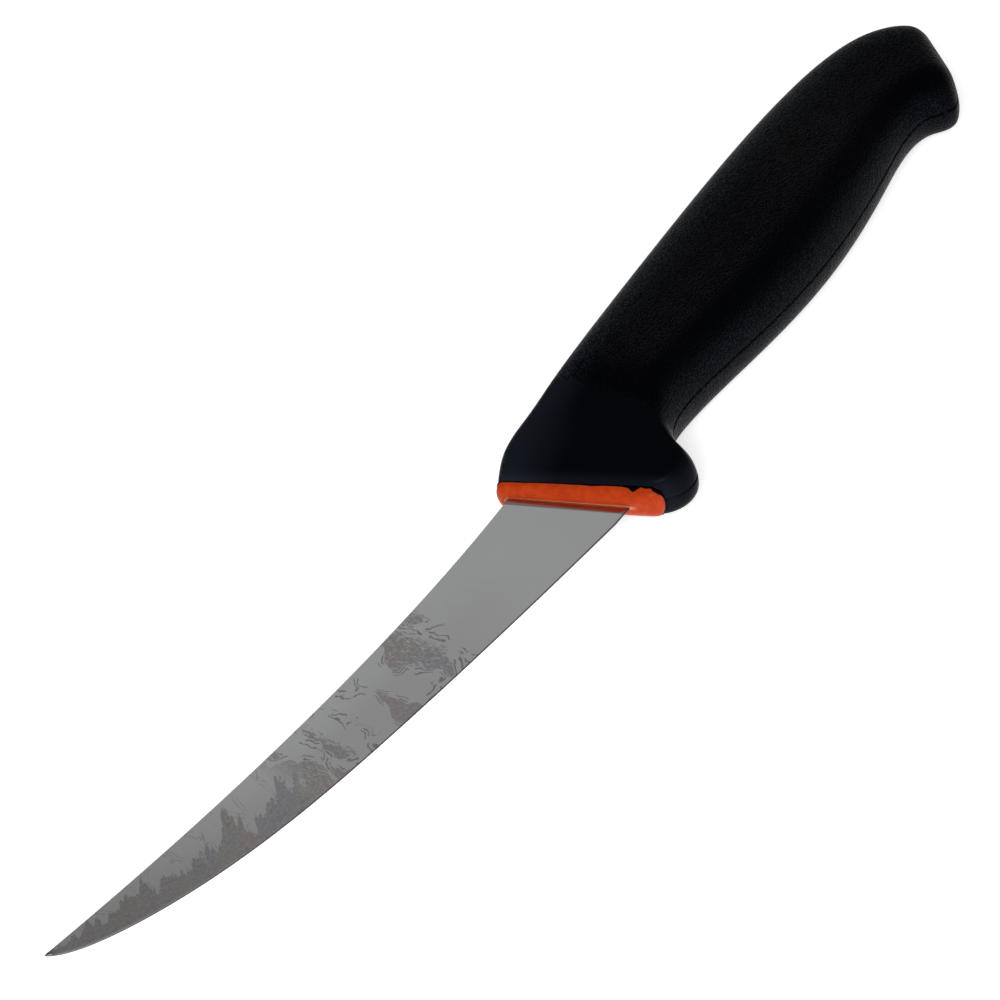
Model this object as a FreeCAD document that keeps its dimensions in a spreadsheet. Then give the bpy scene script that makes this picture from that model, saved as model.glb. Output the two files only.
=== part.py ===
import FreeCAD, Part
import math
import os
import Sketcher

# Boning knife with a curved blade: one steel piece (blade and hidden tang), a hard inner
# handle moulded on the tang, whose front end shows as a collar, and a soft outer grip.
# The knife lies on its side: +X runs to the tip, +Y to the cutting edge, and +Z is across
# the blade. The blade's middle plane is the symmetry plane of every piece. Millimetres.

V = FreeCAD.Vector

# Driving dimensions. Positions are measured from the place where the blade's middle line
# leaves the collar; frame_* then shifts the whole knife so that its box stands on the origin.
DIMENSIONS = {
    "frame_x": 1.35,
    "frame_y": 2.1,
    "frame_z": 10.0,
    # blade
    "stock": 2.0,
    "slit_angle": 21.0,
    "slit_spine_x": 5.1,
    "slit_spine_y": -11.6,
    "slit_chord": 26.0,
    "heel_x": 0.5,
    "heel_y": 12.6,
    "edge_pole1_x": 22.5,
    "edge_pole1_y": 10.2,
    "edge_pole2_x": 60.0,
    "edge_pole2_y": 5.3,
    "edge_pole3_x": 109.0,
    "edge_pole3_y": -3.4,
    "edge_pole4_x": 138.0,
    "edge_pole4_y": -19.0,
    "tip_x": 140.3,
    "tip_y": -25.1,
    "spine_pole1_x": 56.5,
    "spine_pole1_y": -9.5,
    "spine_pole2_x": 108.0,
    "spine_pole2_y": -18.1,
    # flat grind: height of each ground side over the middle plane. The first stretch is one
    # plane, and from grind_flat_x on the side twists gently towards the thin tip.
    "grind_start_x": -12.0,
    "grind_flat_x": 75.0,
    "grind_tip_x": 142.0,
    "grind_height": 0.95,
    "grind_fall": 0.034,
    "grind_taper": 0.0035,
    "grind_tip_height": 0.25,
    "grind_tip_fall": 0.010,
    "grind_reach_spine": -40.0,
    "grind_reach_edge": 30.0,
    "grind_clear": 3.0,
    # tang
    "tang_neck_spine_x": -3.0,
    "tang_neck_spine_y": -11.0,
    "tang_neck_belly_x": -10.0,
    "tang_neck_belly_y": 6.5,
    "tang_waist_x": -19.0,
    "tang_waist_y": 0.0,
    "tang_end_x": -108.0,
    "tang_end_spine_y": -13.5,
    "tang_end_belly_y": -2.5,
    "tang_end_bulge_x": -111.0,
    "hole_diameter": 6.0,
    "hole_first_x": -30.0,
    "hole_pitch": 30.0,
    "hole_y": -6.5,
    # handle skins
    "grip_front_round": 1.1,
    "grip_butt_round": 2.5,
    "core_nose_round": 1.1,
}

# Cross-sections of the grip from the front face to the butt. Each is a slanted plane across
# the handle: x and y of its spine point, slant from the Y axis in degrees, chord from spine
# to belly, half thickness, crown (how far the spine and belly bulge between corners), and
# reach (how far in from each end the sides begin to round over, as a share of the chord).
GRIP_SECTIONS = [
    (4.1, -14.8, 22.0, 35.6, 4.9, 0.5, 0.16),
    (-2.0, -17.9, 17.5, 40.6, 6.1, 0.7, 0.16),
    (-6.0, -18.8, 17.5, 40.6, 6.4, 0.8, 0.17),
    (-10.0, -19.3, 18.0, 35.6, 6.3, 0.9, 0.19),
    (-14.0, -19.6, 18.5, 31.1, 6.8, 1.2, 0.23),
    (-20.0, -19.8, 17.5, 28.5, 8.7, 1.6, 0.27),
    (-36.0, -21.2, 8.5, 28.8, 9.97, 2.1, 0.31),
    (-62.0, -23.0, 0.5, 33.1, 9.82, 2.3, 0.31),
    (-90.0, -24.0, -6.5, 34.5, 9.95, 2.4, 0.31),
    (-112.0, -23.7, -12.0, 31.9, 9.1, 2.2, 0.31),
    (-126.0, -21.8, -19.5, 29.1, 8.6, 2.0, 0.31),
    (-136.9, -16.8, -27.5, 26.9, 8.6, 1.8, 0.31),
    (-141.8, -10.8, -32.5, 24.6, 8.2, 1.8, 0.31),
    (-143.3, -7.5, -34.0, 20.8, 6.8, 1.6, 0.31),
]

# The same for the inner handle, from its nose to its hidden end.
CORE_SECTIONS = [
    (5.7, -13.8, 21.0, 33.6, 2.5, 0.6, 0.11),
    (4.8, -14.8, 21.0, 35.5, 3.55, 0.6, 0.11),
    (3.0, -14.9, 21.0, 35.2, 4.1, 0.6, 0.11),
    (-8.0, -16.0, 18.0, 30.0, 4.6, 0.6, 0.15),
    (-16.0, -17.0, 16.5, 22.8, 5.3, 0.9, 0.2),
    (-32.0, -18.0, 10.5, 22.4, 6.4, 1.3, 0.2),
    (-60.0, -19.5, 1.0, 26.0, 7.2, 1.6, 0.2),
    (-95.0, -20.5, -8.0, 26.6, 6.9, 1.6, 0.2),
    (-125.0, -18.5, -20.0, 20.5, 5.8, 1.4, 0.2),
]

# The belly end of the slanted line where the blade leaves the collar.
SLIT_BELLY_X = "Dims.slit_spine_x - Dims.slit_chord * sin(Dims.slit_angle)"
SLIT_BELLY_Y = "Dims.slit_spine_y + Dims.slit_chord * cos(Dims.slit_angle)"

# Where the plane of the ground side crosses the Z axis, how it leans, and its height at the
# station where the twist to the thin tip begins.
GRIND_ORIGIN = "Dims.grind_height + Dims.grind_fall * Dims.slit_spine_y"
GRIND_LEAN = (
    "create(<<rotation>>; create(<<vector>>; -Dims.grind_fall; Dims.grind_taper; 0);"
    " atan(sqrt(Dims.grind_fall ^ 2 + Dims.grind_taper ^ 2)))"
)
GRIND_TWIST = GRIND_ORIGIN + " - Dims.grind_taper * Dims.grind_flat_x - Dims.grind_fall * %s"
GRIND_TIP = "Dims.grind_tip_height - Dims.grind_tip_fall * (%s - Dims.tip_y)"

SECTION_WORDS = ("x", "y", "slant", "chord", "half", "crown", "reach")


def section_cell(skin, index, word):
    return "%s%d_%s" % (skin, index, word)


def fill_sheet(sheet):
    cells = dict(DIMENSIONS)
    for skin, sections in (("grip", GRIP_SECTIONS), ("core", CORE_SECTIONS)):
        for index, values in enumerate(sections):
            for word, value in zip(SECTION_WORDS, values):
                cells[section_cell(skin, index, word)] = value
    for row, (name, value) in enumerate(cells.items(), start=1):
        sheet.set("A%d" % row, name)
        sheet.set("B%d" % row, str(value))
        sheet.setAlias("B%d" % row, name)


def new_body(name):
    body = doc.addObject("PartDesign::Body", name)
    body.Label = name
    return body


def origin_plane(body, role):
    for feature in body.Origin.OriginFeatures:
        if feature.Role == role:
            return feature
    raise ValueError(role)


def new_sketch(body, name, role):
    sketch = body.newObject("Sketcher::SketchObject", name)
    sketch.AttachmentSupport = [(origin_plane(body, role), "")]
    sketch.MapMode = "FlatFace"
    return sketch


def pin(sketch, geometry, point, x, y):
    """Fix one point of a sketch at (x, y), each a formula on the sheet."""
    for kind, formula in (("DistanceX", x), ("DistanceY", y)):
        value = 1.0 if formula != "0" else 0.0
        index = sketch.addConstraint(Sketcher.Constraint(kind, geometry, point, value))
        if formula != "0":
            sketch.setExpression("Constraints[%d]" % index, formula)


def spline(sketch, poles, guesses, closed):
    """A cubic curve whose control points are pinned to formulas."""
    curve = Part.BSplineCurve()
    guess = [V(x, y, 0) for x, y in guesses]
    if closed:
        curve.buildFromPolesMultsKnots(guess, periodic=True, degree=3)
    else:
        spans = len(guess) - 3
        multiplicity = [4] + [1] * (spans - 1) + [4]
        curve.buildFromPolesMultsKnots(
            guess, multiplicity, list(range(spans + 1)), periodic=False, degree=3
        )
    edge = sketch.addGeometry(curve, False)
    for index, (x, y) in enumerate(poles):
        circle = sketch.addGeometry(Part.Circle(guess[index], V(0, 0, 1), 1.0), True)
        align = "InternalAlignment:Sketcher::BSplineControlPoint"
        sketch.addConstraint(Sketcher.Constraint(align, circle, 3, edge, index))
        sketch.addConstraint(Sketcher.Constraint("Weight", circle, 1.0))
        pin(sketch, circle, 3, x, y)
    return edge


def named_poles(names):
    """Formulas and first guesses for control points that the sheet names."""
    formulas = [("Dims.%s_x" % name, "Dims.%s_y" % name) for name in names]
    guesses = [(DIMENSIONS[name + "_x"], DIMENSIONS[name + "_y"]) for name in names]
    return formulas, guesses


def polygon(sketch, corners):
    """A closed outline of straight lines through corners given as formulas."""
    count = len(corners)
    turn = [2 * math.pi * i / count for i in range(count + 1)]
    ring = [V(10 * math.cos(a), 10 * math.sin(a), 0) for a in turn]
    lines = [sketch.addGeometry(Part.LineSegment(ring[i], ring[i + 1]), False) for i in range(count)]
    for i, line in enumerate(lines):
        after = lines[(i + 1) % count]
        sketch.addConstraint(Sketcher.Constraint("Coincident", line, 2, after, 1))
        pin(sketch, line, 1, *corners[i])
    return lines


def symmetric(body, kind, name, sketch, length):
    """A pad or pocket that reaches the same way to both sides of its sketch."""
    feature = body.newObject(kind, name)
    feature.Profile = sketch
    feature.SideType = "Symmetric"
    feature.setExpression("Length", length)
    body.Tip = feature
    doc.recompute()
    return feature


def grind_section(name, station, height):
    """The metal ground away above one side at a station along the blade."""
    sketch = new_sketch(blade, name, "YZ_Plane")
    sketch.setExpression("AttachmentOffset.Base.z", "Dims." + station)
    corners = [(y, height % y) for y in ("Dims.grind_reach_spine", "Dims.grind_reach_edge")]
    corners += [(y, "Dims.grind_clear") for y in ("Dims.grind_reach_edge", "Dims.grind_reach_spine")]
    polygon(sketch, corners)
    return sketch


def handle_section(body, skin, index, values):
    """One closed cross-section: a rounded rectangle from the spine to the belly."""
    sketch = new_sketch(body, "%sSection%d" % (skin, index), "YZ_Plane")
    x, y, slant, chord, half, crown, reach = values
    cell = {word: "Dims." + section_cell(skin, index, word) for word in SECTION_WORDS}
    sketch.AttachmentOffset = FreeCAD.Placement(V(y, 0, x), FreeCAD.Rotation(V(0, 1, 0), slant))
    sketch.setExpression("AttachmentOffset.Base.x", cell["y"])
    sketch.setExpression("AttachmentOffset.Base.z", cell["x"])
    sketch.setExpression("AttachmentOffset.Rotation.Angle", cell["slant"])
    along = [
        ("-%(crown)s / 2" % cell, -crown / 2),
        (cell["crown"], crown),
        ("%(reach)s * %(chord)s" % cell, reach * chord),
        ("(1 - %(reach)s) * %(chord)s" % cell, (1 - reach) * chord),
        ("%(chord)s - %(crown)s" % cell, chord - crown),
        ("%(chord)s + %(crown)s / 2" % cell, chord + crown / 2),
    ]
    along = along + along[4:0:-1]
    across = [("0", 0.0)] + [("-" + cell["half"], -half)] * 4
    across = across + [("0", 0.0)] + [(cell["half"], half)] * 4
    poles = [(u[0], v[0]) for u, v in zip(along, across)]
    guesses = [(u[1], v[1]) for u, v in zip(along, across)]
    spline(sketch, poles, guesses, True)
    return sketch


def skin_solid(sketches):
    """The closed solid whose smooth skin passes exactly through every cross-section.

    A loft feature only approximates its sections and overshoots on this many, so the
    control points of the sections are interpolated along the handle instead.
    """
    curves = [sketch.Shape.Edges[0].Curve for sketch in sketches]
    rows = [curve.getPoles() for curve in curves]
    reach = [0.0]
    for before, after in zip(rows, rows[1:]):
        steps = [a.distanceToPoint(b) for a, b in zip(before, after)]
        reach.append(reach[-1] + sum(steps) / len(steps))
    columns = []
    for column in zip(*rows):
        rib = Part.BSplineCurve()
        rib.interpolate(Points=list(column), Parameters=reach)
        columns.append(rib)
    along = columns[0]
    surface = Part.BSplineSurface()
    surface.buildFromPolesMultsKnots(
        [list(row) for row in zip(*[rib.getPoles() for rib in columns])],
        along.getMultiplicities(), curves[0].getMultiplicities(),
        along.getKnots(), curves[0].getKnots(),
        False, True, 3, 3,
    )
    side = surface.toShape()
    rims = [edge for edge in side.Edges if edge.isClosed() and not edge.isSeam(side)]
    caps = [Part.Face(Part.Wire([rim])) for rim in rims]
    shell = Part.Shell([side] + caps)
    shell.fix(1e-4, 1e-4, 1e-4)
    return Part.Solid(shell)


def handle_skin(name, skin, sections):
    """A body whose base is the skin through its cross-sections."""
    body = new_body(name)
    sketches = [handle_section(body, skin, i, values) for i, values in enumerate(sections)]
    doc.recompute()
    base = doc.addObject("Part::Feature", skin + "_skin")
    base.Shape = skin_solid(sketches)
    body.BaseFeature = base
    doc.recompute()
    return body, body.Tip


def end_edges(shape, towards_tip):
    """Names of the edges round the flat end face that looks to the tip or to the butt."""
    flat = [f for f in shape.Faces if f.Surface.TypeId == "Part::GeomPlane"]
    flat.sort(key=lambda f: f.CenterOfMass.x)
    face = flat[-1] if towards_tip else flat[0]
    names = []
    for index, edge in enumerate(shape.Edges, start=1):
        if any(edge.isSame(rim) for rim in face.Edges):
            names.append("Edge%d" % index)
    return names


def round_end(body, base, towards_tip, formula, label):
    fillet = body.newObject("PartDesign::Fillet", label)
    fillet.Base = (base, end_edges(base.Shape, towards_tip))
    fillet.setExpression("Radius", formula)
    body.Tip = fillet
    doc.recompute()
    return fillet


def moulded_round(label, blank, inner):
    cut = doc.addObject("Part::Cut", label)
    cut.Label = label
    cut.Base = blank
    cut.Tool = inner
    return cut


doc = FreeCAD.newDocument("boning_knife")
dims = doc.addObject("Spreadsheet::Sheet", "Dims")
fill_sheet(dims)
doc.recompute()

# Blade: the flat outline at stock thickness, then both sides ground towards the edge.
blade = new_body("blade")
outline = new_sketch(blade, "BladeOutline", "XY_Plane")
spine_poles = named_poles(["slit_spine", "spine_pole1", "spine_pole2", "tip"])
edge_poles = named_poles(
    ["heel", "edge_pole1", "edge_pole2", "edge_pole3", "edge_pole4", "tip"]
)
spine_curve = spline(outline, *spine_poles, False)
edge_curve = spline(outline, *edge_poles, False)
slit_line = outline.addGeometry(Part.LineSegment(V(5, -11, 0), V(-4, 12, 0)), False)
heel_line = outline.addGeometry(Part.LineSegment(V(-4, 12, 0), V(0, 12, 0)), False)
outline.addConstraint(Sketcher.Constraint("Coincident", slit_line, 1, spine_curve, 1))
outline.addConstraint(Sketcher.Constraint("Coincident", heel_line, 1, slit_line, 2))
outline.addConstraint(Sketcher.Constraint("Coincident", heel_line, 2, edge_curve, 1))
pin(outline, slit_line, 2, SLIT_BELLY_X, SLIT_BELLY_Y)
blade_pad = symmetric(blade, "PartDesign::Pad", "BladePad", outline, "Dims.stock")

grind_outline = new_sketch(blade, "GrindPlane", "XY_Plane")
lean = "create(<<placement>>; create(<<vector>>; 0; 0; %s); %s)" % (GRIND_ORIGIN, GRIND_LEAN)
grind_outline.setExpression("AttachmentOffset", lean)
polygon(grind_outline, [
    ("Dims.grind_start_x", "Dims.grind_reach_spine"),
    ("Dims.grind_tip_x", "Dims.grind_reach_spine"),
    ("Dims.grind_tip_x", "Dims.grind_reach_edge"),
    ("Dims.grind_start_x", "Dims.grind_reach_edge"),
])
grind_flat = blade.newObject("PartDesign::Pocket", "GrindFlat")
grind_flat.Profile = grind_outline
grind_flat.Reversed = True
grind_flat.setExpression("Length", "Dims.grind_clear")
doc.recompute()
grind_twist = blade.newObject("PartDesign::SubtractiveLoft", "GrindTwist")
grind_twist.Profile = grind_section("GrindSection", "grind_flat_x", GRIND_TWIST)
grind_twist.Sections = [grind_section("GrindTipSection", "grind_tip_x", GRIND_TIP)]
grind_twist.Ruled = True
mirrored = blade.newObject("PartDesign::Mirrored", "GrindMirrored")
mirrored.Originals = [grind_flat, grind_twist]
mirrored.MirrorPlane = (origin_plane(blade, "XY_Plane"), [""])
blade.Tip = mirrored
doc.recompute()

tang_outline = new_sketch(blade, "TangOutline", "XY_Plane")
corners = [
    ("Dims.slit_spine_x", "Dims.slit_spine_y"),
    (SLIT_BELLY_X, SLIT_BELLY_Y),
    ("Dims.tang_neck_belly_x", "Dims.tang_neck_belly_y"),
    ("Dims.tang_waist_x", "Dims.tang_waist_y"),
    ("Dims.tang_end_x", "Dims.tang_end_belly_y"),
    ("Dims.tang_end_x", "Dims.tang_end_spine_y"),
    ("Dims.tang_neck_spine_x", "Dims.tang_neck_spine_y"),
]
polygon(tang_outline, corners)
symmetric(blade, "PartDesign::Pad", "Tang", tang_outline, "Dims.stock")

hole_sketch = new_sketch(blade, "TangHoles", "XY_Plane")
for i in range(3):
    hole = hole_sketch.addGeometry(Part.Circle(V(-30 - 30 * i, -6, 0), V(0, 0, 1), 3), False)
    pin(hole_sketch, hole, 3, "Dims.hole_first_x - %d * Dims.hole_pitch" % i, "Dims.hole_y")
    diameter = hole_sketch.addConstraint(Sketcher.Constraint("Diameter", hole, 6.0))
    hole_sketch.setExpression("Constraints[%d]" % diameter, "Dims.hole_diameter")
symmetric(blade, "PartDesign::Pocket", "MouldingHoles", hole_sketch, "2 * Dims.stock")

core_blank, core_base = handle_skin("core_blank", "core", CORE_SECTIONS)
round_end(core_blank, core_base, True, "Dims.core_nose_round", "CoreNose")

grip_blank, grip_base = handle_skin("grip_blank", "grip", GRIP_SECTIONS)
grip_front = round_end(grip_blank, grip_base, True, "Dims.grip_front_round", "GripFront")
round_end(grip_blank, grip_front, False, "Dims.grip_butt_round", "GripButt")

# The inner handle is moulded round the tang and through its holes, and the grip is moulded
# round the inner handle, so each takes the shape of what it covers.
for body in (blade, core_blank, grip_blank):
    for axis in "xyz":
        body.setExpression("Placement.Base." + axis, "Dims.frame_" + axis)
handle_core = moulded_round("handle_core", core_blank, blade)
grip = moulded_round("grip", grip_blank, core_blank)
doc.recompute()

for item in doc.Objects:
    if "Invalid" in item.State or "Error" in item.State:
        raise RuntimeError("%s: %s" % (item.Name, item.State))
os.makedirs("parts", exist_ok=True)
for piece in (blade, handle_core, grip):
    shape = piece.Shape
    if shape.isNull() or not shape.isValid():
        raise RuntimeError(piece.Label + " has no valid shape")
    shape.exportStep("parts/%s.step" % piece.Label)
    print(piece.Label, len(shape.Solids), round(shape.Volume, 1), shape.BoundBox)
whole = Part.Compound([piece.Shape for piece in (blade, handle_core, grip)])
print("whole", whole.BoundBox)
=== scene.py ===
import math

import bpy
import bmesh
import numpy as np
from mathutils import Matrix, Vector


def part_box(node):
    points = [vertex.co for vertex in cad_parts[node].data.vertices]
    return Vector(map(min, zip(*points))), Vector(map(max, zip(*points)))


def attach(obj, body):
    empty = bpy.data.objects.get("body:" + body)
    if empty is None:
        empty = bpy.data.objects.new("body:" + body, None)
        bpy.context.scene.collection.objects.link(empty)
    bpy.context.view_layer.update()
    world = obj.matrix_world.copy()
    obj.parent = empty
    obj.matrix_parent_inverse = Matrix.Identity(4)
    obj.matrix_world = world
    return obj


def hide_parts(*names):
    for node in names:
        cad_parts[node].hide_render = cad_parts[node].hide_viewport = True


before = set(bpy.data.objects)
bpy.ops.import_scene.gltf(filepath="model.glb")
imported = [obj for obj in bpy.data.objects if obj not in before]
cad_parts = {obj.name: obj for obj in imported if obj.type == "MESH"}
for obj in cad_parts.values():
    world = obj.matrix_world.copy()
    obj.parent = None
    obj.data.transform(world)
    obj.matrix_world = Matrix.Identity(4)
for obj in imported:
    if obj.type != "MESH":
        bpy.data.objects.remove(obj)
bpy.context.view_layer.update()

# Boning knife: the blade, the handle core, whose front end is the orange collar, and the
# soft black grip. Shapes are worked out in the design's own millimetres: +X to the tip,
# +Y to the cutting edge, +Z across the blade, with zero at the blade's root by the collar.
MM_PER_M = 1000
TIP = (140.3, -25.1)
blade_low, blade_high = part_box("blade")
ORIGIN = np.array([
    blade_high.x - TIP[0] / MM_PER_M,
    blade_low.y - TIP[1] / MM_PER_M,
    (blade_low.z + blade_high.z) / 2,
])

# Cross-sections from the front to the butt: x and y of the spine point, slant in degrees,
# chord from spine to belly, half thickness, crown of the two narrow sides, and how far the
# round corners at the spine and at the belly reach over the side, as shares of the chord.
GRIP_SECTIONS = [
    (4.1, -14.8, 22.0, 35.6, 4.9, 0.5, 0.10, 0.16),
    (-2.0, -17.9, 17.5, 40.6, 6.1, 0.7, 0.10, 0.16),
    (-6.0, -18.8, 17.5, 40.6, 6.4, 0.8, 0.10, 0.17),
    (-10.0, -19.3, 18.0, 35.6, 6.3, 0.9, 0.11, 0.19),
    (-14.0, -19.6, 18.5, 31.1, 6.8, 1.2, 0.14, 0.23),
    (-20.0, -19.8, 17.5, 28.5, 8.7, 1.6, 0.21, 0.27),
    (-36.0, -21.2, 8.5, 28.8, 9.97, 2.1, 0.31, 0.31),
    (-62.0, -23.0, 0.5, 33.1, 9.82, 2.3, 0.31, 0.31),
    (-90.0, -24.0, -6.5, 34.5, 9.95, 2.4, 0.31, 0.31),
    (-112.0, -23.7, -12.0, 31.9, 9.1, 2.2, 0.31, 0.31),
    (-126.0, -21.8, -19.5, 29.1, 8.6, 2.0, 0.31, 0.31),
    (-136.9, -16.8, -27.5, 26.9, 8.6, 1.8, 0.31, 0.31),
    (-141.8, -10.8, -32.5, 24.6, 8.2, 1.8, 0.31, 0.31),
    (-143.3, -7.5, -34.0, 20.8, 6.8, 1.6, 0.31, 0.31),
]
CORE_SECTIONS = [
    (5.7, -13.8, 21.0, 33.6, 2.5, 0.6, 0.065, 0.08),
    (4.8, -14.8, 21.0, 35.5, 3.55, 0.6, 0.065, 0.08),
    (3.0, -14.9, 21.0, 35.2, 4.1, 0.6, 0.065, 0.08),
    (-8.0, -16.0, 18.0, 30.0, 4.6, 0.6, 0.15, 0.15),
    (-16.0, -17.0, 16.5, 22.8, 5.3, 0.9, 0.2, 0.2),
    (-32.0, -18.0, 10.5, 22.4, 6.4, 1.3, 0.2, 0.2),
    (-60.0, -19.5, 1.0, 26.0, 7.2, 1.6, 0.2, 0.2),
    (-95.0, -20.5, -8.0, 26.6, 6.9, 1.6, 0.2, 0.2),
    (-125.0, -18.5, -20.0, 20.5, 5.8, 1.4, 0.2, 0.2),
]
HALF_THICKNESS = 4  # its column in the two tables
GRIP_END = len(GRIP_SECTIONS) - 1
CORE_END = len(CORE_SECTIONS) - 1
COLLAR_END = 3.0  # the core's section behind which the grip hides it
FRONT_ROUND, BUTT_ROUND, NOSE_ROUND = 1.1, 2.5, 1.1

# A ring has ten control points, from the spine (rank 0) over one side to the belly (rank 5)
# and back over the other side.
POLES = 10
BELLY = 5
SIDE_COLUMNS = 46
# Heights over the middle plane at which columns of vertices run beside the parting line.
PARTING_LEVELS = np.array([0.11, 0.22, 0.42, 0.8])

# Spacing of the rings, and the distances of the extra ones from the rounded ends.
GRIP_SPACING, COLLAR_SPACING = 0.55, 0.3
FRONT_STEPS = (0.03, 0.1, 0.2, 0.35, 0.55, 0.8, 1.05)
BUTT_STEPS = (0.02, 0.06, 0.12, 0.2, 0.3, 0.42)
NOSE_STEPS = (0.02, 0.06, 0.12, 0.2)


def metres(points):
    return np.asarray(points, float) / MM_PER_M + ORIGIN


def ahead(slant):
    """The direction a section of that slant faces, towards the tip."""
    a = math.radians(slant)
    return np.array([math.cos(a), math.sin(a), 0.0])


def to_belly(slant):
    """The direction of a section's chord, from the spine to the belly."""
    a = math.radians(slant)
    return np.array([-math.sin(a), math.cos(a), 0.0])


# ---------------------------------------------------------------- smooth skins

def section_poles(sections):
    """The control points of every cross-section, shape (sections, POLES, 3)."""
    rows = []
    for x, y, slant, chord, half, crown, spine, belly in sections:
        along = [-crown / 2, crown, spine * chord,
                 (1 - belly) * chord, chord - crown, chord + crown / 2]
        along += along[4:0:-1]
        height = [0.0] + [half] * 4 + [0.0] + [-half] * 4
        base = np.array([x, y, 0.0])
        across = to_belly(slant)
        rows.append([base + across * u + np.array([0, 0, v]) for u, v in zip(along, height)])
    return np.array(rows)


def spline_through(knots, values, at):
    """Natural cubic spline through values at knots, evaluated at the given places."""
    n = len(knots)
    h = np.diff(knots)
    flat = values.reshape(n, -1)
    matrix = np.eye(n)
    slopes = np.zeros_like(flat)
    for i in range(1, n - 1):
        matrix[i, i - 1:i + 2] = h[i - 1], 2 * (h[i - 1] + h[i]), h[i]
        slopes[i] = 6 * ((flat[i + 1] - flat[i]) / h[i] - (flat[i] - flat[i - 1]) / h[i - 1])
    bend = np.linalg.solve(matrix, slopes)
    i = np.clip(np.searchsorted(knots, at, side="right") - 1, 0, n - 2)
    t, step = at - knots[i], h[i]
    s = step - t
    t, s, step = t[:, None], s[:, None], step[:, None]
    out = (bend[i] * s ** 3 + bend[i + 1] * t ** 3) / (6 * step)
    before = flat[i] / step - bend[i] * step / 6
    after = flat[i + 1] / step - bend[i + 1] * step / 6
    out += before * s + after * t
    return out.reshape((len(at),) + values.shape[1:])


class Skin:
    """A smooth surface through cross-sections; stations are fractional section numbers."""

    def __init__(self, sections):
        self.poles = section_poles(sections)
        self.half = np.array([row[HALF_THICKNESS] for row in sections])
        steps = np.linalg.norm(np.diff(self.poles, axis=0), axis=2).mean(axis=1)
        self.knots = np.concatenate([[0.0], np.cumsum(steps)])
        self.numbers = np.arange(len(sections))

    def place(self, stations):
        """Distances of stations along the skin."""
        return np.interp(stations, self.numbers, self.knots)

    def stations(self, start, end, spacing, fine_start=(), fine_end=()):
        """Stations at an even spacing, with closer ones at the ends."""
        a, b = self.place(np.array([start, end]))
        count = max(2, int(round((b - a) / spacing)) + 1)
        places = np.linspace(a, b, count)
        places = np.concatenate([a + np.array(fine_start), places, b - np.array(fine_end)])
        places = np.unique(np.round(places, 5))
        return np.interp(places, self.knots, self.numbers)

    def rings(self, stations):
        """Points of the skin: a ring per station along it, a column per rank round it."""
        at = self.place(np.asarray(stations, float))
        poles = spline_through(self.knots, self.poles, at)
        rank = column_ranks(spline_through(self.knots, self.half[:, None], at))
        first = np.floor(rank).astype(int)
        t = rank - first
        weights = [(1 - t) ** 3,
                   3 * t ** 3 - 6 * t ** 2 + 4,
                   -3 * t ** 3 + 3 * t ** 2 + 3 * t + 1,
                   t ** 3]
        rows = np.arange(len(at))[:, None]
        points = sum(weight[..., None] * poles[rows, (first + k - 1) % POLES]
                     for k, weight in enumerate(weights))
        return points / 6


def column_ranks(half):
    """The ranks of a ring's columns, crowded beside the parting line."""
    # Near the parting line a rank is about the height over the half thickness.
    levels = PARTING_LEVELS[None, :] / half
    first = levels[:, -1:] + 0.06
    side = first + (BELLY - 2 * first) * np.linspace(0, 1, SIDE_COLUMNS)[None, :]
    zero = np.zeros_like(half)
    near = [zero, levels, side, BELLY - levels[:, ::-1]]
    far = [zero + BELLY, BELLY + levels, BELLY + side, POLES - levels[:, ::-1]]
    return np.concatenate(near + far, axis=1)


def ring_normals(rings):
    """Unit normals of a grid of rings, pointing out of the handle."""
    along = np.gradient(rings, axis=0)
    around = np.roll(rings, -1, axis=1) - np.roll(rings, 1, axis=1)
    normal = np.cross(around, along)
    normal /= np.linalg.norm(normal, axis=2, keepdims=True) + 1e-12
    centre = rings.mean(axis=1, keepdims=True)
    if np.sum(normal * (rings - centre)) < 0:
        normal = -normal
    return normal


def plane_of(sections, index):
    """A point and the unit normal of a section's plane, towards the tip."""
    x, y, slant = sections[index][:3]
    return np.array([x, y, 0.0]), ahead(slant)


def flattened(points, point, normal):
    """Points dropped onto a plane."""
    return points - ((points - point) @ normal)[:, None] * normal


def round_towards(rings, point, normal, radius):
    """Draw rings in near an end plane, as a round of that radius does."""
    depth = np.clip(np.abs((rings - point) @ normal), 0, radius)
    inset = radius - np.sqrt(np.maximum(radius ** 2 - (radius - depth) ** 2, 0))
    outward = ring_normals(rings)
    outward = outward - (outward @ normal)[..., None] * normal
    outward /= np.linalg.norm(outward, axis=2, keepdims=True)
    return rings - outward * inset[..., None]


def blend_rings(outer, inner, shares):
    return np.array([outer * (1 - s) + inner * s for s in shares])


def tube(rings):
    """Points and faces of a stack of rings; each end closes on its own middle."""
    n, m = rings.shape[:2]
    faces = []
    for i in range(n - 1):
        a, b = i * m, (i + 1) * m
        faces += [(a + j, a + (j + 1) % m, b + (j + 1) % m, b + j) for j in range(m)]
    last = (n - 1) * m
    faces += [((j + 1) % m, j, n * m) for j in range(m)]
    faces += [(last + j, last + (j + 1) % m, n * m + 1) for j in range(m)]
    ends = [rings[0].mean(axis=0), rings[-1].mean(axis=0)]
    return np.concatenate([rings.reshape(-1, 3), ends]), faces


def smoothstep(low, high, value):
    t = np.clip((value - low) / (high - low), 0, 1)
    return t * t * (3 - 2 * t)


def new_object(name, data):
    ob = bpy.data.objects.new(name, data)
    bpy.context.scene.collection.objects.link(ob)
    return ob


def shade_smooth(mesh):
    mesh.polygons.foreach_set("use_smooth", [True] * len(mesh.polygons))


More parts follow.
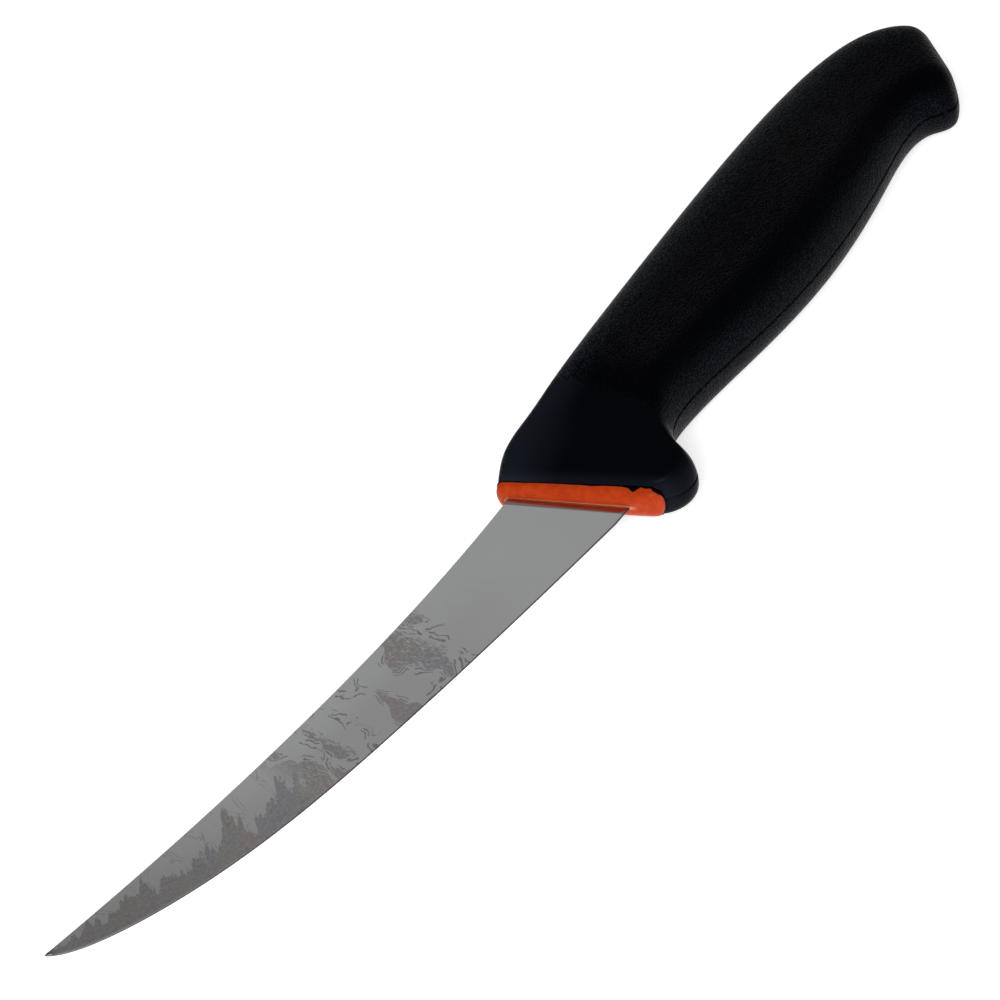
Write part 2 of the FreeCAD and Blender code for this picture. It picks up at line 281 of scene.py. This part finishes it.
def mesh_object(name, points, faces):
    mesh = bpy.data.meshes.new(name)
    mesh.from_pydata([tuple(p) for p in metres(points)], [], faces)
    mesh.validate()
    bm = bmesh.new()
    bm.from_mesh(mesh)
    bmesh.ops.recalc_face_normals(bm, faces=bm.faces)
    bm.to_mesh(mesh)
    bm.free()
    shade_smooth(mesh)
    return new_object(name, mesh)


def float_attribute(ob, name, values, ends):
    """A value for every point of a tube, and for the middles of its two ends."""
    values = np.concatenate([np.reshape(values, -1), ends])
    layer = ob.data.attributes.new(name, "FLOAT", "POINT")
    layer.data.foreach_set("value", np.asarray(values, np.float32))


# ---------------------------------------------------------------- grip

grip_skin = Skin(GRIP_SECTIONS)
core_skin = Skin(CORE_SECTIONS)
front_point, front_normal = front_plane = plane_of(GRIP_SECTIONS, 0)
butt_point, butt_normal = butt_plane = plane_of(GRIP_SECTIONS, GRIP_END)
stations = grip_skin.stations(0.0, GRIP_END, GRIP_SPACING, FRONT_STEPS, BUTT_STEPS)
grip_rings = grip_skin.rings(stations)
grip_rings = round_towards(grip_rings, *front_plane, FRONT_ROUND)
grip_rings = round_towards(grip_rings, *butt_plane, BUTT_ROUND)

# The parting line: a shallow groove where the mould halves met, deeper and ragged at the guard.
GROOVE_DEPTH, GROOVE_WIDTH = 0.34, 0.32
GUARD_DEPTH, GUARD_WIDTH = 0.14, 0.12
x, y, z = np.moveaxis(grip_rings, 2, 0)
guard_edge = smoothstep(-14.0, -10.0, x) * smoothstep(3.0, 7.0, y)
wander = guard_edge * (0.13 * np.sin(2.3 * x + 1.7 * y) + 0.09 * np.sin(5.1 * x - 3.3 * y))
groove_share = np.abs(z - wander) / (GROOVE_WIDTH + GUARD_WIDTH * guard_edge)
groove = (GROOVE_DEPTH + GUARD_DEPTH * guard_edge) * (1 - smoothstep(0.0, 1.0, groove_share))
grip_rings = grip_rings - ring_normals(grip_rings) * groove[..., None]

# Where the collar comes through the front face.
probe_rings = core_skin.rings(np.linspace(0.0, COLLAR_END, 300))
probe_outward = ring_normals(probe_rings)
probe_ahead = (probe_rings - front_point) @ front_normal


def collar_at(distance, lift):
    """Points a lift off the collar, at a distance ahead of the grip's front, by column."""
    out = []
    for j, d in enumerate(distance):
        i = max(1, int(np.argmax(probe_ahead[:, j] < d)))
        a, b = probe_ahead[i - 1, j], probe_ahead[i, j]
        share = np.clip((a - d) / (a - b), 0, 1)
        point = probe_rings[i - 1, j] * (1 - share) + probe_rings[i, j] * share
        out.append(point + probe_outward[i, j] * lift[j])
    return np.array(out)


zero = np.zeros(probe_rings.shape[1])
# Flash: thin tongues of the grip's material that ran out over the collar, as distance from
# the spine, width and length.
FLASH_TONGUES = [(29.8, 1.0, 1.15), (32.4, 0.5, 0.35), (34.4, 0.9, 0.75), (21.0, 0.4, 0.14)]
FLASH_LONGEST = 1.25
from_spine = (collar_at(zero, zero) - front_point) @ to_belly(GRIP_SECTIONS[0][2])
flash = sum(length * np.exp(-((from_spine - centre) / width) ** 4)
            for centre, width, length in FLASH_TONGUES)
flash = np.minimum(flash + 0.10 + 0.05 * np.sin(from_spine * 3.1), FLASH_LONGEST)
flash_rings = [
    collar_at(flash * 0.8, zero + 0.16),
    collar_at(flash, zero + 0.07),
    collar_at(flash * 0.9, zero - 0.05),
]

front_ring = flattened(grip_rings[0], *front_plane)
face_rings = blend_rings(front_ring, collar_at(zero, zero + 0.22), [0.25, 0.5, 0.75, 0.92, 1.0])
butt_ring = grip_rings[-1]
butt_middle = np.broadcast_to(butt_ring.mean(axis=0), butt_ring.shape)
butt_rings = blend_rings(butt_ring, butt_middle, [0.85, 0.7, 0.55, 0.4, 0.25, 0.12])
inner_rings = core_skin.rings(np.linspace(2.2, CORE_END, 60))
grip_stack = np.concatenate([butt_rings, grip_rings[::-1], face_rings, flash_rings,
                             [collar_at(zero, zero - 0.05)], inner_rings])
grip = mesh_object("grip_soft", *tube(grip_stack))

# Grain everywhere but on the smooth panel over the guard, which a grained strip borders
# along the spine.
x, y = grip_stack[..., 0], grip_stack[..., 1]
panel = smoothstep(-25.5, -21.5, x + 0.12 * (y + 5))
spine_strip = 1 - smoothstep(2.0, 2.9, y + 19.5 - 0.38 * np.maximum(x + 6, 0))
float_attribute(grip, "grain", 1 - panel * (1 - spine_strip), [1.0, 0.0])

# The sides get a painted sheen along the spine, less of it at the belly and the front's rim.
spine_column = grip_rings[:, :1]
chord = grip_rings[:, [grip_rings.shape[1] // 2]] - spine_column
chord_share = np.sum((grip_rings - spine_column) * chord, axis=2) / np.sum(chord * chord, axis=2)
painted_sheen_reach = 0.75 * (1 - smoothstep(0.03, 0.42, chord_share))
painted_sheen_reach += 0.25 * smoothstep(0.93, 1.0, chord_share)
painted_sheen_reach += 0.35 * (1 - smoothstep(0.3, 2.6, (front_point - grip_rings) @ front_normal))
butt_fade = smoothstep(0.0, 6.0, (grip_rings - butt_point) @ butt_normal)
painted_sheen = np.zeros(grip_stack.shape[:2])
painted_sheen[len(butt_rings):len(butt_rings) + len(grip_rings)] = (painted_sheen_reach * butt_fade)[::-1]
float_attribute(grip, "painted_sheen", painted_sheen, [0.0, 0.0])

# ---------------------------------------------------------------- collar

nose_plane = plane_of(CORE_SECTIONS, 0)
stations = core_skin.stations(0.0, COLLAR_END, COLLAR_SPACING, NOSE_STEPS)
hidden = np.linspace(COLLAR_END + 0.1, CORE_END, 60)
core_rings = core_skin.rings(np.concatenate([stations, hidden]))
core_rings = round_towards(core_rings, *nose_plane, NOSE_ROUND)
nose_ring = flattened(core_rings[0], *nose_plane)

# The slot in the collar's front that the blade stands in.
SLOT_SPINE = np.array([5.1, -11.6, 0.0])
SLOT_SLANT = 21.0
SLOT_CHORD = 26.0
SPINE_GAP, BELLY_GAP, SIDE_GAP = 0.9, 0.05, 0.05
SLOT_DEPTHS = (0.12, 0.6, 2.0)
END_ROUND = 0.5  # how far from its two ends the slot has its full width
FULL_AT = 1.2  # the collar's height over the middle plane that goes to the slot's full width
slot_ahead, slot_across = ahead(SLOT_SLANT), to_belly(SLOT_SLANT)

# The ground side is a plane up to PLANE_END, falling away from its half thickness at the
# slot's spine end, and then twists to the plane that it has at the tip.
SIDE_HALF, SIDE_FALL_X, SIDE_FALL_Y = 0.95, 0.0035, 0.034
PLANE_END, TWIST_END = 75.0, 142.0
TIP_HALF, TIP_FALL_Y = 0.25, 0.010
STOCK_HALF = 1.0


def slot_ring(ring):
    """The slot round the blade, one point for each point of a ring round it."""
    u = (ring - SLOT_SPINE) @ slot_across
    low, high = -SPINE_GAP, SLOT_CHORD + BELLY_GAP
    spread = (u - u.min()) / (u.max() - u.min())
    target = low + (high - low) * spread
    fall = SIDE_FALL_Y * np.clip(target, 0, SLOT_CHORD) * math.cos(math.radians(SLOT_SLANT))
    half = SIDE_HALF - fall + SIDE_GAP
    edge = np.minimum(target - low, high - target)
    half = half * np.sqrt(np.clip(edge / END_ROUND, 0, 1))
    point = flattened(SLOT_SPINE + target[:, None] * slot_across, *nose_plane)
    point[:, 2] = half * np.clip(ring[:, 2] / FULL_AT, -1, 1)
    return point


slot = slot_ring(nose_ring)
slot_rings = np.array([slot] + [slot - nose_plane[1] * depth for depth in SLOT_DEPTHS])
nose_rings = blend_rings(nose_ring, slot, [0.3, 0.6, 0.85])
core_stack = np.concatenate([slot_rings[::-1], nose_rings[::-1], core_rings])
collar = mesh_object("collar", *tube(core_stack))
# The lip gets a painted glint, pale where it turns into the slot.
painted_lip_glint = np.zeros(core_stack.shape[:2])
painted_lip_glint[:len(slot_rings)] = 1.0
painted_lip_glint[len(slot_rings)] = 0.35
float_attribute(collar, "painted_lip_glint", painted_lip_glint, [1.0, 0.0])

# ---------------------------------------------------------------- blade

SPINE_POLES = [(5.1, -11.6), (56.5, -9.5), (108.0, -18.1), TIP]
EDGE_POLES = [(0.5, 12.6), (22.5, 10.2), (60.0, 5.3), (109.0, -3.4), (138.0, -19.0), TIP]
CURVE_POINTS = 600
LENGTHWISE = 260
HEEL_STEPS = 9
BEVEL = 0.5
CROWN_STEPS = np.array([0.0, 0.06, 0.16])
CROWN_HEIGHTS = np.array([0.82, 0.96, 1.0])
SIDE_SHARES = np.linspace(0, 1, 30)[1:]
EDGE_HALF, THINNEST_HALF = 0.03, 0.02
NARROWEST = 0.25  # narrower rows are dropped, and the blade closes on its tip
TINY = 1e-6
ROOT_DEPTH, TANG_CUT = 1.5, 1.6  # depths in the slot where the blade ends and the tang starts
SHARP_ANGLE = 14


def bspline_curve(poles, count):
    """A clamped cubic B-spline through its end control points, as the outline's sketches have."""
    poles = np.array(poles, float)
    n = len(poles)
    knots = np.concatenate([[0] * 3, np.arange(n - 2), [n - 3] * 3]).astype(float)
    t = np.linspace(0, n - 3, count)
    basis = np.zeros((len(knots) - 1, count))
    for i in range(len(knots) - 1):
        basis[i] = (t >= knots[i]) & (t < knots[i + 1])
    basis[n - 1, -1] = 1.0
    for degree in range(1, 4):
        raised = np.zeros_like(basis)
        for i in range(len(knots) - 1 - degree):
            a = knots[i + degree] - knots[i]
            b = knots[i + degree + 1] - knots[i + 1]
            if a > 0:
                raised[i] += (t - knots[i]) / a * basis[i]
            if b > 0:
                raised[i] += (knots[i + degree + 1] - t) / b * basis[i + 1]
        basis = raised
    return basis[:n].T @ poles


def at_even_steps(curve, count):
    """A curve's points again, at even steps along its length."""
    steps = np.concatenate([[0], np.cumsum(np.linalg.norm(np.diff(curve, axis=0), axis=1))])
    at = np.linspace(0, steps[-1], count)
    return np.stack([np.interp(at, steps, curve[:, k]) for k in range(2)], axis=1)


def ground_height(x, y):
    """Half thickness of the blade at a point of its side."""
    from_spine = y - SLOT_SPINE[1]
    plane = SIDE_HALF - SIDE_FALL_X * x - SIDE_FALL_Y * from_spine
    start = SIDE_HALF - SIDE_FALL_X * PLANE_END - SIDE_FALL_Y * from_spine
    tip = TIP_HALF - TIP_FALL_Y * (y - TIP[1])
    share = np.clip((x - PLANE_END) / (TWIST_END - PLANE_END), 0, 1)
    twisted = start * (1 - share) + tip * share
    return np.minimum(STOCK_HALF, np.where(x < PLANE_END, plane, twisted))


spine_line = at_even_steps(bspline_curve(SPINE_POLES, CURVE_POINTS), LENGTHWISE)
edge_curve = bspline_curve(EDGE_POLES, CURVE_POINTS)
heel_start = (SLOT_SPINE + slot_across * SLOT_CHORD)[:2]
heel_shares = np.linspace(0, 1, HEEL_STEPS, endpoint=False)[:, None]
heel_line = heel_start + (edge_curve[0] - heel_start) * heel_shares
edge_line = np.concatenate([heel_line, at_even_steps(edge_curve, LENGTHWISE - HEEL_STEPS)])

# Each row of the blade crosses it from the spine to the edge, over the spine's crown, the
# ground side and a small bevel.
across = edge_line - spine_line
width = np.linalg.norm(across, axis=1)[:, None]
direction = across / np.maximum(width, TINY)
bevel = np.minimum(BEVEL, width * 0.3)
crown = np.minimum(CROWN_STEPS[None, :], width * 0.2)
side = crown[:, -1:] + (width - bevel - crown[:, -1:]) * SIDE_SHARES
reach = np.concatenate([crown, side, width - bevel * 0.5, width], axis=1)
plan = spine_line[:, None, :] + direction[:, None, :] * reach[..., None]
height = ground_height(plan[..., 0], plan[..., 1])
height[:, :len(CROWN_HEIGHTS)] *= CROWN_HEIGHTS[None, :]
height[:, -2] = height[:, -3] * 0.5 + 0.015
height[:, -1] = EDGE_HALF
height = np.maximum(height, THINNEST_HALF)
top = np.concatenate([plan, height[..., None]], axis=2)
bottom = np.concatenate([plan, -height[..., None]], axis=2)
loop = np.concatenate([top, bottom[:, ::-1]], axis=1)
behind = loop[:1] - slot_ahead * ROOT_DEPTH
wide_enough = width[:, 0] > NARROWEST
points, faces = tube(np.concatenate([behind, loop[wide_enough]]))
points[-1] = (*TIP, 0.0)
blade = mesh_object("blade_ground", points, faces)
share = (reach / np.maximum(width, TINY))[wide_enough]
share = np.concatenate([share, share[:, ::-1]], axis=1)
float_attribute(blade, "across", np.concatenate([share[:1], share]), [0.5, 1.0])

# The hidden tang keeps the shape of the CAD piece.
tang = new_object("tang_copy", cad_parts["blade"].data.copy())
bm = bmesh.new()
bm.from_mesh(tang.data)
bmesh.ops.remove_doubles(bm, verts=bm.verts, dist=1e-6)
bmesh.ops.bisect_plane(bm, geom=bm.verts[:] + bm.edges[:] + bm.faces[:], dist=1e-7,
                       plane_co=Vector(metres(SLOT_SPINE - slot_ahead * TANG_CUT)),
                       plane_no=Vector(slot_ahead), clear_outer=True)
bmesh.ops.holes_fill(bm, edges=[e for e in bm.edges if e.is_boundary])
bmesh.ops.recalc_face_normals(bm, faces=bm.faces)
bm.to_mesh(tang.data)
bm.free()
tang.data.materials.clear()
for ob in bpy.context.selected_objects:
    ob.select_set(False)
tang.select_set(True)
blade.select_set(True)
bpy.context.view_layer.objects.active = blade
bpy.ops.object.join()
shade_smooth(blade.data)
blade.data.set_sharp_from_angle(angle=math.radians(SHARP_ANGLE))

# ---------------------------------------------------------------- materials


class Nodes:
    """A short way to write a node tree."""

    def __init__(self, name):
        self.material = bpy.data.materials.new(name)
        self.material.use_nodes = True
        self.tree = self.material.node_tree
        self.shader = self.tree.nodes["Principled BSDF"]

    def add(self, kind, inputs=None, **settings):
        node = self.tree.nodes.new("ShaderNode" + kind)
        for key, value in settings.items():
            setattr(node, key, value)
        for key, value in (inputs or {}).items():
            if isinstance(value, bpy.types.NodeSocket):
                self.tree.links.new(value, node.inputs[key])
            else:
                node.inputs[key].default_value = value
        return node

    def math(self, operation, a, b=0.0):
        return self.add("Math", {0: a, 1: b}, operation=operation).outputs[0]

    def plus(self, a, b):
        return self.math("ADD", a, b)

    def minus(self, a, b):
        return self.math("SUBTRACT", a, b)

    def times(self, a, b):
        return self.math("MULTIPLY", a, b)

    def swing(self, noise, amount):
        """A noise brought to swing about zero, and scaled."""
        return self.times(self.minus(noise, 0.5), amount)

    def ramp(self, value, low, high, to_low=0.0, to_high=1.0):
        node = self.add("MapRange", {"Value": value, "From Min": low, "From Max": high,
                                     "To Min": to_low, "To Max": to_high},
                        interpolation_type="SMOOTHSTEP")
        return node.outputs[0]

    def mix(self, factor, a, b):
        node = self.add("Mix", data_type="RGBA")
        for index, value in ((0, factor), (6, a), (7, b)):
            socket = node.inputs[index]
            if isinstance(value, bpy.types.NodeSocket):
                self.tree.links.new(value, socket)
            elif isinstance(value, float):
                socket.default_value = value
            else:
                socket.default_value = (*value, 1.0)
        return node.outputs[2]

    def millimetres(self, scale=(1, 1, 1), turn=0.0):
        """Object coordinates in millimetres, stretched and turned about Z by degrees."""
        where = self.add("TexCoord").outputs["Object"]
        return self.mapped(where, tuple(MM_PER_M * s for s in scale), turn)

    def mapped(self, vector, scale, turn=0.0):
        return self.add("Mapping", {"Vector": vector, "Scale": scale,
                                    "Rotation": (0, 0, math.radians(turn))}).outputs[0]

    def noise(self, vector, scale, detail=2.0, rough=0.5, distort=0.0):
        node = self.add("TexNoise", {"Vector": vector, "Scale": scale, "Detail": detail,
                                     "Roughness": rough, "Distortion": distort})
        return node.outputs["Fac"]

    def warped(self, vector, scale, detail, amount):
        """Coordinates pushed about by a noise."""
        noise = self.add("TexNoise", {"Vector": vector, "Scale": scale, "Detail": detail})
        push = self.add("VectorMath", {0: noise.outputs["Color"], 1: (0.5, 0.5, 0.5)},
                        operation="SUBTRACT")
        push = self.add("VectorMath", {0: push.outputs[0], "Scale": amount}, operation="SCALE")
        return self.add("VectorMath", {0: vector, 1: push.outputs[0]}, operation="ADD").outputs[0]

    def attribute(self, name):
        return self.add("Attribute", attribute_name=name).outputs["Fac"]

    def bump(self, height, strength, distance):
        inputs = {"Height": height, "Strength": strength, "Distance": distance}
        return self.add("Bump", inputs).outputs[0]

    def set(self, **inputs):
        """Link or set the shader's own sockets; a colour is three numbers."""
        for key, value in inputs.items():
            socket = self.shader.inputs[key.replace("_", " ")]
            if isinstance(value, bpy.types.NodeSocket):
                self.tree.links.new(value, socket)
            elif socket.type == "RGBA":
                socket.default_value = (*value, 1.0)
            else:
                socket.default_value = value


# Places along X below are in the frame's millimetres, where the blade leaves the collar
# between -3 and 6 and the tip is at 142.

def etching(m, mm, x, across):
    """How much of a point is etched, and how much of that is a leaf's outline."""
    leaf_turn = 24
    ragged = m.noise(m.millimetres((3.0, 0.6, 0.0), leaf_turn), 1.0, 3.0, 0.65)
    crumbs = m.noise(m.millimetres((1.4, 1.4, 0.0)), 1.0, 4.0, 0.7)
    towards_tip = m.ramp(x, 36.0, 118.0)

    # Tall leaf shapes with ragged outlines, denser towards the tip.
    leaf = m.mapped(m.warped(mm, 0.10, 3.0, 14.0), (0.125, 0.05, 0.0), leaf_turn)
    cell = {"Vector": leaf, "Scale": 1.0, "Randomness": 0.85}
    colour = m.add("TexVoronoi", cell, voronoi_dimensions="2D").outputs["Color"]
    rim = m.add("TexVoronoi", cell, voronoi_dimensions="2D", feature="DISTANCE_TO_EDGE")
    rim = m.plus(rim.outputs["Distance"], m.swing(crumbs, 0.10))
    choice, wear = m.add("SeparateColor", {0: colour}).outputs[:2]
    bare_share = m.minus(0.64, m.times(towards_tip, 0.52))
    torn_choice = m.plus(choice, m.swing(ragged, 0.08))
    filled = m.ramp(torn_choice, m.minus(bare_share, 0.004), bare_share)
    inside = m.ramp(rim, 0.09, 0.12)
    torn = m.plus(m.plus(ragged, m.times(wear, 0.20)), m.times(towards_tip, 0.10))
    leaves = m.times(m.times(filled, inside), m.ramp(torn, 0.47, 0.50))
    near_rim = m.ramp(m.math("ABSOLUTE", m.minus(rim, 0.055)), 0.012, 0.026, 1.0, 0.0)
    broken = m.ramp(m.noise(mm, 0.35, 1.0), 0.44, 0.50)
    outline = m.times(near_rim, broken)

    # Over the front half it turns to flames that rise from the edge, leaning with the point.
    leaning = m.mapped(m.millimetres(turn=38), (0.34, 0.045, 0.0))
    flames = m.plus(across, m.swing(m.noise(leaning, 1.0, 4.0, 0.62, 0.3), 2.3))
    flames = m.plus(flames, m.swing(crumbs, 0.35))
    flames = m.plus(flames, m.ramp(x, 105.0, 138.0, 0.0, 0.22))
    flames = m.ramp(flames, 0.42, 0.45)
    front = m.ramp(m.plus(x, m.times(ragged, 8.0)), 84.0, 92.0)
    body = m.plus(m.times(leaves, m.minus(1.0, front)), m.times(flames, front))
    outline = m.times(outline, m.minus(1.0, m.times(front, 0.6)))

    tone = m.ramp(crumbs, 0.35, 0.6, 0.6, 1.0)
    etched = m.math("MAXIMUM", m.times(body, tone), m.times(outline, 0.8))
    begin = m.ramp(m.plus(x, m.times(ragged, 6.0)), 42.0, 43.0)
    return m.times(etched, begin), outline


def steel_material():
    satin, satin_light, satin_cloud = (0.87, 0.88, 0.87), (0.92, 0.93, 0.92), (0.82, 0.83, 0.825)
    painted_side_shade, painted_point_shade = (0.74, 0.74, 0.725), (0.52, 0.505, 0.49)
    etched_warm, etched_cool = (0.51, 0.46, 0.44), (0.46, 0.46, 0.495)
    etched_point_shade, etched_outline = (0.32, 0.305, 0.30), (0.27, 0.245, 0.235)
    painted_collar_reflection, painted_edge_shade = (0.20, 0.055, 0.03), (0.10, 0.10, 0.10)

    m = Nodes("blade_steel")
    mm = m.millimetres()
    x, y = m.add("SeparateXYZ", {0: mm}).outputs[:2]
    across = m.attribute("across")
    # A satin ground side: very fine lines across the blade and a slow change of tone.
    lines = m.noise(m.millimetres((9.0, 0.4, 0.4), -8), 1.0, 3.0, 0.6)
    cloud = m.noise(mm, 0.03, 2.0, 0.5)
    steel = m.mix(m.ramp(lines, 0.3, 0.7), satin, satin_light)
    steel = m.mix(m.ramp(cloud, 0.35, 0.65, 0.0, 0.4), steel, satin_cloud)
    # Painted shade darkens the side away from the spine and towards the point, so it is brighter
    # along the spine.
    side_shade = m.times(m.ramp(across, 0.05, 0.6), m.ramp(x, 15.0, 60.0, 0.15, 0.75))
    steel = m.mix(side_shade, steel, painted_side_shade)
    steel = m.mix(m.ramp(x, 75.0, 140.0, 0.0, 0.8), steel, painted_point_shade)
    etched, outline = etching(m, mm, x, across)
    tint = m.mix(m.ramp(m.noise(mm, 0.09, 1.0), 0.42, 0.6), etched_warm, etched_cool)
    # Painted shade darkens the etching towards the point too.
    tint = m.mix(m.ramp(x, 80.0, 135.0, 0.0, 0.7), tint, etched_point_shade)
    tint = m.mix(m.times(outline, 0.7), tint, etched_outline)
    steel = m.mix(etched, steel, tint)
    # Close to the collar, whose front is at about 2.8, a narrow band of the steel is dark: painted
    # shade with a painted reflection of the orange collar.
    from_collar = m.plus(x, m.times(y, 0.38))
    steel = m.mix(m.ramp(from_collar, 4.3, 4.55, 0.62, 0.0), steel, painted_collar_reflection)
    # Painted shade makes the honed edge and the point a thin dark line.
    edge_shade = m.math("MAXIMUM", m.ramp(across, 0.980, 0.990), m.ramp(x, 139.8, 141.0))
    steel = m.mix(m.times(edge_shade, 0.8), steel, painted_edge_shade)
    m.set(Base_Color=steel, Metallic=1.0)
    # Next to the collar the steel keeps its polish and mirrors the collar.
    rough = m.times(m.ramp(lines, 0.3, 0.7, 0.17, 0.21), m.ramp(from_collar, 7.0, 13.0, 0.18, 1.0))
    m.set(Roughness=m.plus(rough, m.times(etched, 0.12)), Normal=m.bump(lines, 0.12, 0.000008))
    return m.material


def collar_material():
    deep, light = (0.39, 0.031, 0.003), (0.48, 0.046, 0.005)
    painted_glint_specks, lip_glint_colour = (0.66, 0.13, 0.035), (0.85, 0.48, 0.28)

    m = Nodes("core_orange")
    mm = m.millimetres()
    cloud = m.noise(mm, 0.5, 3.0, 0.6)
    speck = m.noise(mm, 5.0, 2.0, 0.6)
    orange = m.mix(m.ramp(cloud, 0.3, 0.7), deep, light)
    # Lighter specks are painted glints.
    orange = m.mix(m.ramp(speck, 0.60, 0.74, 0.0, 0.35), orange, painted_glint_specks)
    # The painted glint lightens the lip at the slot.
    orange = m.mix(m.times(m.attribute("painted_lip_glint"), 0.8), orange, lip_glint_colour)
    m.set(Base_Color=orange, Roughness=m.ramp(speck, 0.3, 0.7, 0.24, 0.36))
    m.set(Specular_IOR_Level=0.10, Normal=m.bump(m.noise(mm, 2.2, 3.0, 0.6), 0.35, 0.00012))
    m.set(Subsurface_Weight=0.05, Subsurface_Radius=(0.0012, 0.0004, 0.0002), Subsurface_Scale=1.0)
    return m.material


def grip_material():
    black_low, grain_top_painted_highlight = (0.0003, 0.0004, 0.0008), (0.0008, 0.0011, 0.0019)
    # The smooth panel's black is lighter, a painted sheen.
    panel_black_painted_sheen, painted_sheen_colour = (0.0012, 0.0015, 0.0025), (0.0165, 0.0205, 0.0300)

    m = Nodes("grip_black")
    mm = m.millimetres()
    grain = m.attribute("grain")
    moved = m.warped(mm, 1.4, 2.0, 0.7)
    cells = m.add("TexVoronoi", {"Vector": moved, "Scale": 2.1, "Smoothness": 0.35,
                                 "Randomness": 1.0}, feature="SMOOTH_F1")
    pebble = m.ramp(cells.outputs["Distance"], 0.05, 0.75, 1.0, 0.0)
    fine = m.noise(moved, 5.0, 3.0, 0.6)
    relief = m.times(m.plus(m.times(pebble, 0.8), m.times(fine, 0.35)), grain)
    relief = m.plus(relief, m.times(m.noise(mm, 7.0, 2.0, 0.5), 0.05))
    high = m.ramp(pebble, 0.2, 0.9)
    # The grain's tops get a painted highlight.
    black = m.mix(grain, panel_black_painted_sheen, m.mix(high, black_low, grain_top_painted_highlight))
    # The painted sheen falls mostly on the grain's tops; on the smooth panel it is even.
    tops = m.times(grain, m.minus(m.times(high, 2.0), 0.45))
    painted_sheen_amount = m.times(m.attribute("painted_sheen"), m.plus(tops, 0.6))
    black = m.mix(painted_sheen_amount, black, painted_sheen_colour)
    rough = m.plus(m.ramp(m.noise(mm, 0.25, 2.0), 0.3, 0.7, 0.22, 0.28), m.times(grain, 0.06))
    m.set(Base_Color=black, Roughness=rough, Normal=m.bump(relief, 1.0, 0.00042))
    m.set(Specular_IOR_Level=0.018, Specular_Tint=(0.70, 0.82, 1.0))
    return m.material


grip.data.materials.append(grip_material())
collar.data.materials.append(collar_material())
blade.data.materials.append(steel_material())

for piece, node, slot_name in ((blade, "blade", "blade_steel"),
                               (collar, "handle_core", "core_orange"),
                               (grip, "grip", "grip_black")):
    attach(piece, "root")
    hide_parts(node)

# ---------------------------------------------------------------- floor, light and camera

VIEW = np.array([0.4422, 0.5422, 0.7145])
RIGHT = np.array([-0.5857, 0.7779, -0.2278])
UP = np.array([-0.6793, -0.3177, 0.6616])
TARGET = metres((5.47, -13.60, 0.0))
CAMERA_DISTANCE = 1.0
LENS, SENSOR = 176.7, 36.0

camera = new_object("camera", bpy.data.cameras.new("camera"))
camera_place = TARGET + VIEW * CAMERA_DISTANCE
camera.matrix_world = Matrix([[RIGHT[i], UP[i], VIEW[i], camera_place[i]] for i in range(3)]
                             + [[0, 0, 0, 1]])
camera.data.lens = LENS
camera.data.sensor_width = SENSOR
camera.data.clip_start = 0.05
camera.data.clip_end = 20.0
bpy.context.scene.camera = camera

FLOOR_REACH = 4.0
FLOOR_DROP = 0.0002
corners = [(x * FLOOR_REACH, y * FLOOR_REACH, 0) for x, y in ((-1, -1), (1, -1), (1, 1), (-1, 1))]
floor_mesh = bpy.data.meshes.new("floor")
floor_mesh.from_pydata(corners, [], [(0, 1, 2, 3)])
floor = new_object("floor", floor_mesh)
floor.location.z = -FLOOR_DROP
pale = Nodes("floor_pale")
paper = pale.ramp(pale.noise(pale.millimetres(), 0.002, 2.0), 0.3, 0.7)
pale.set(Base_Color=pale.mix(paper, (0.86, 0.86, 0.86), (0.88, 0.88, 0.88)), Roughness=0.9)
pale.set(Specular_IOR_Level=0.0, Emission_Color=(1.0, 1.0, 1.0), Emission_Strength=0.6)
floor_mesh.materials.append(pale.material)

world = bpy.data.worlds.new("studio")
bpy.context.scene.world = world
world.use_nodes = True
background = world.node_tree.nodes["Background"]
background.inputs["Color"].default_value = (0.31, 0.31, 0.315, 1.0)
background.inputs["Strength"].default_value = 1.0


def soft_light(name, place, size, power):
    """A rectangular lamp that faces the frame's origin."""
    lamp = bpy.data.lights.new(name, "AREA")
    lamp.shape = "RECTANGLE"
    lamp.size, lamp.size_y = size
    lamp.energy = power
    ob = new_object(name, lamp)
    ob.location = place
    ob.rotation_euler = (-Vector(place)).to_track_quat("-Z", "Y").to_euler()


soft_light("key", (1.1, 0.9, 1.3), (0.9, 0.9), 26.0)
soft_light("side", (-0.8, -1.45, 0.12), (1.3, 0.24), 1.3)

bpy.context.scene.view_settings.view_transform = "Standard"
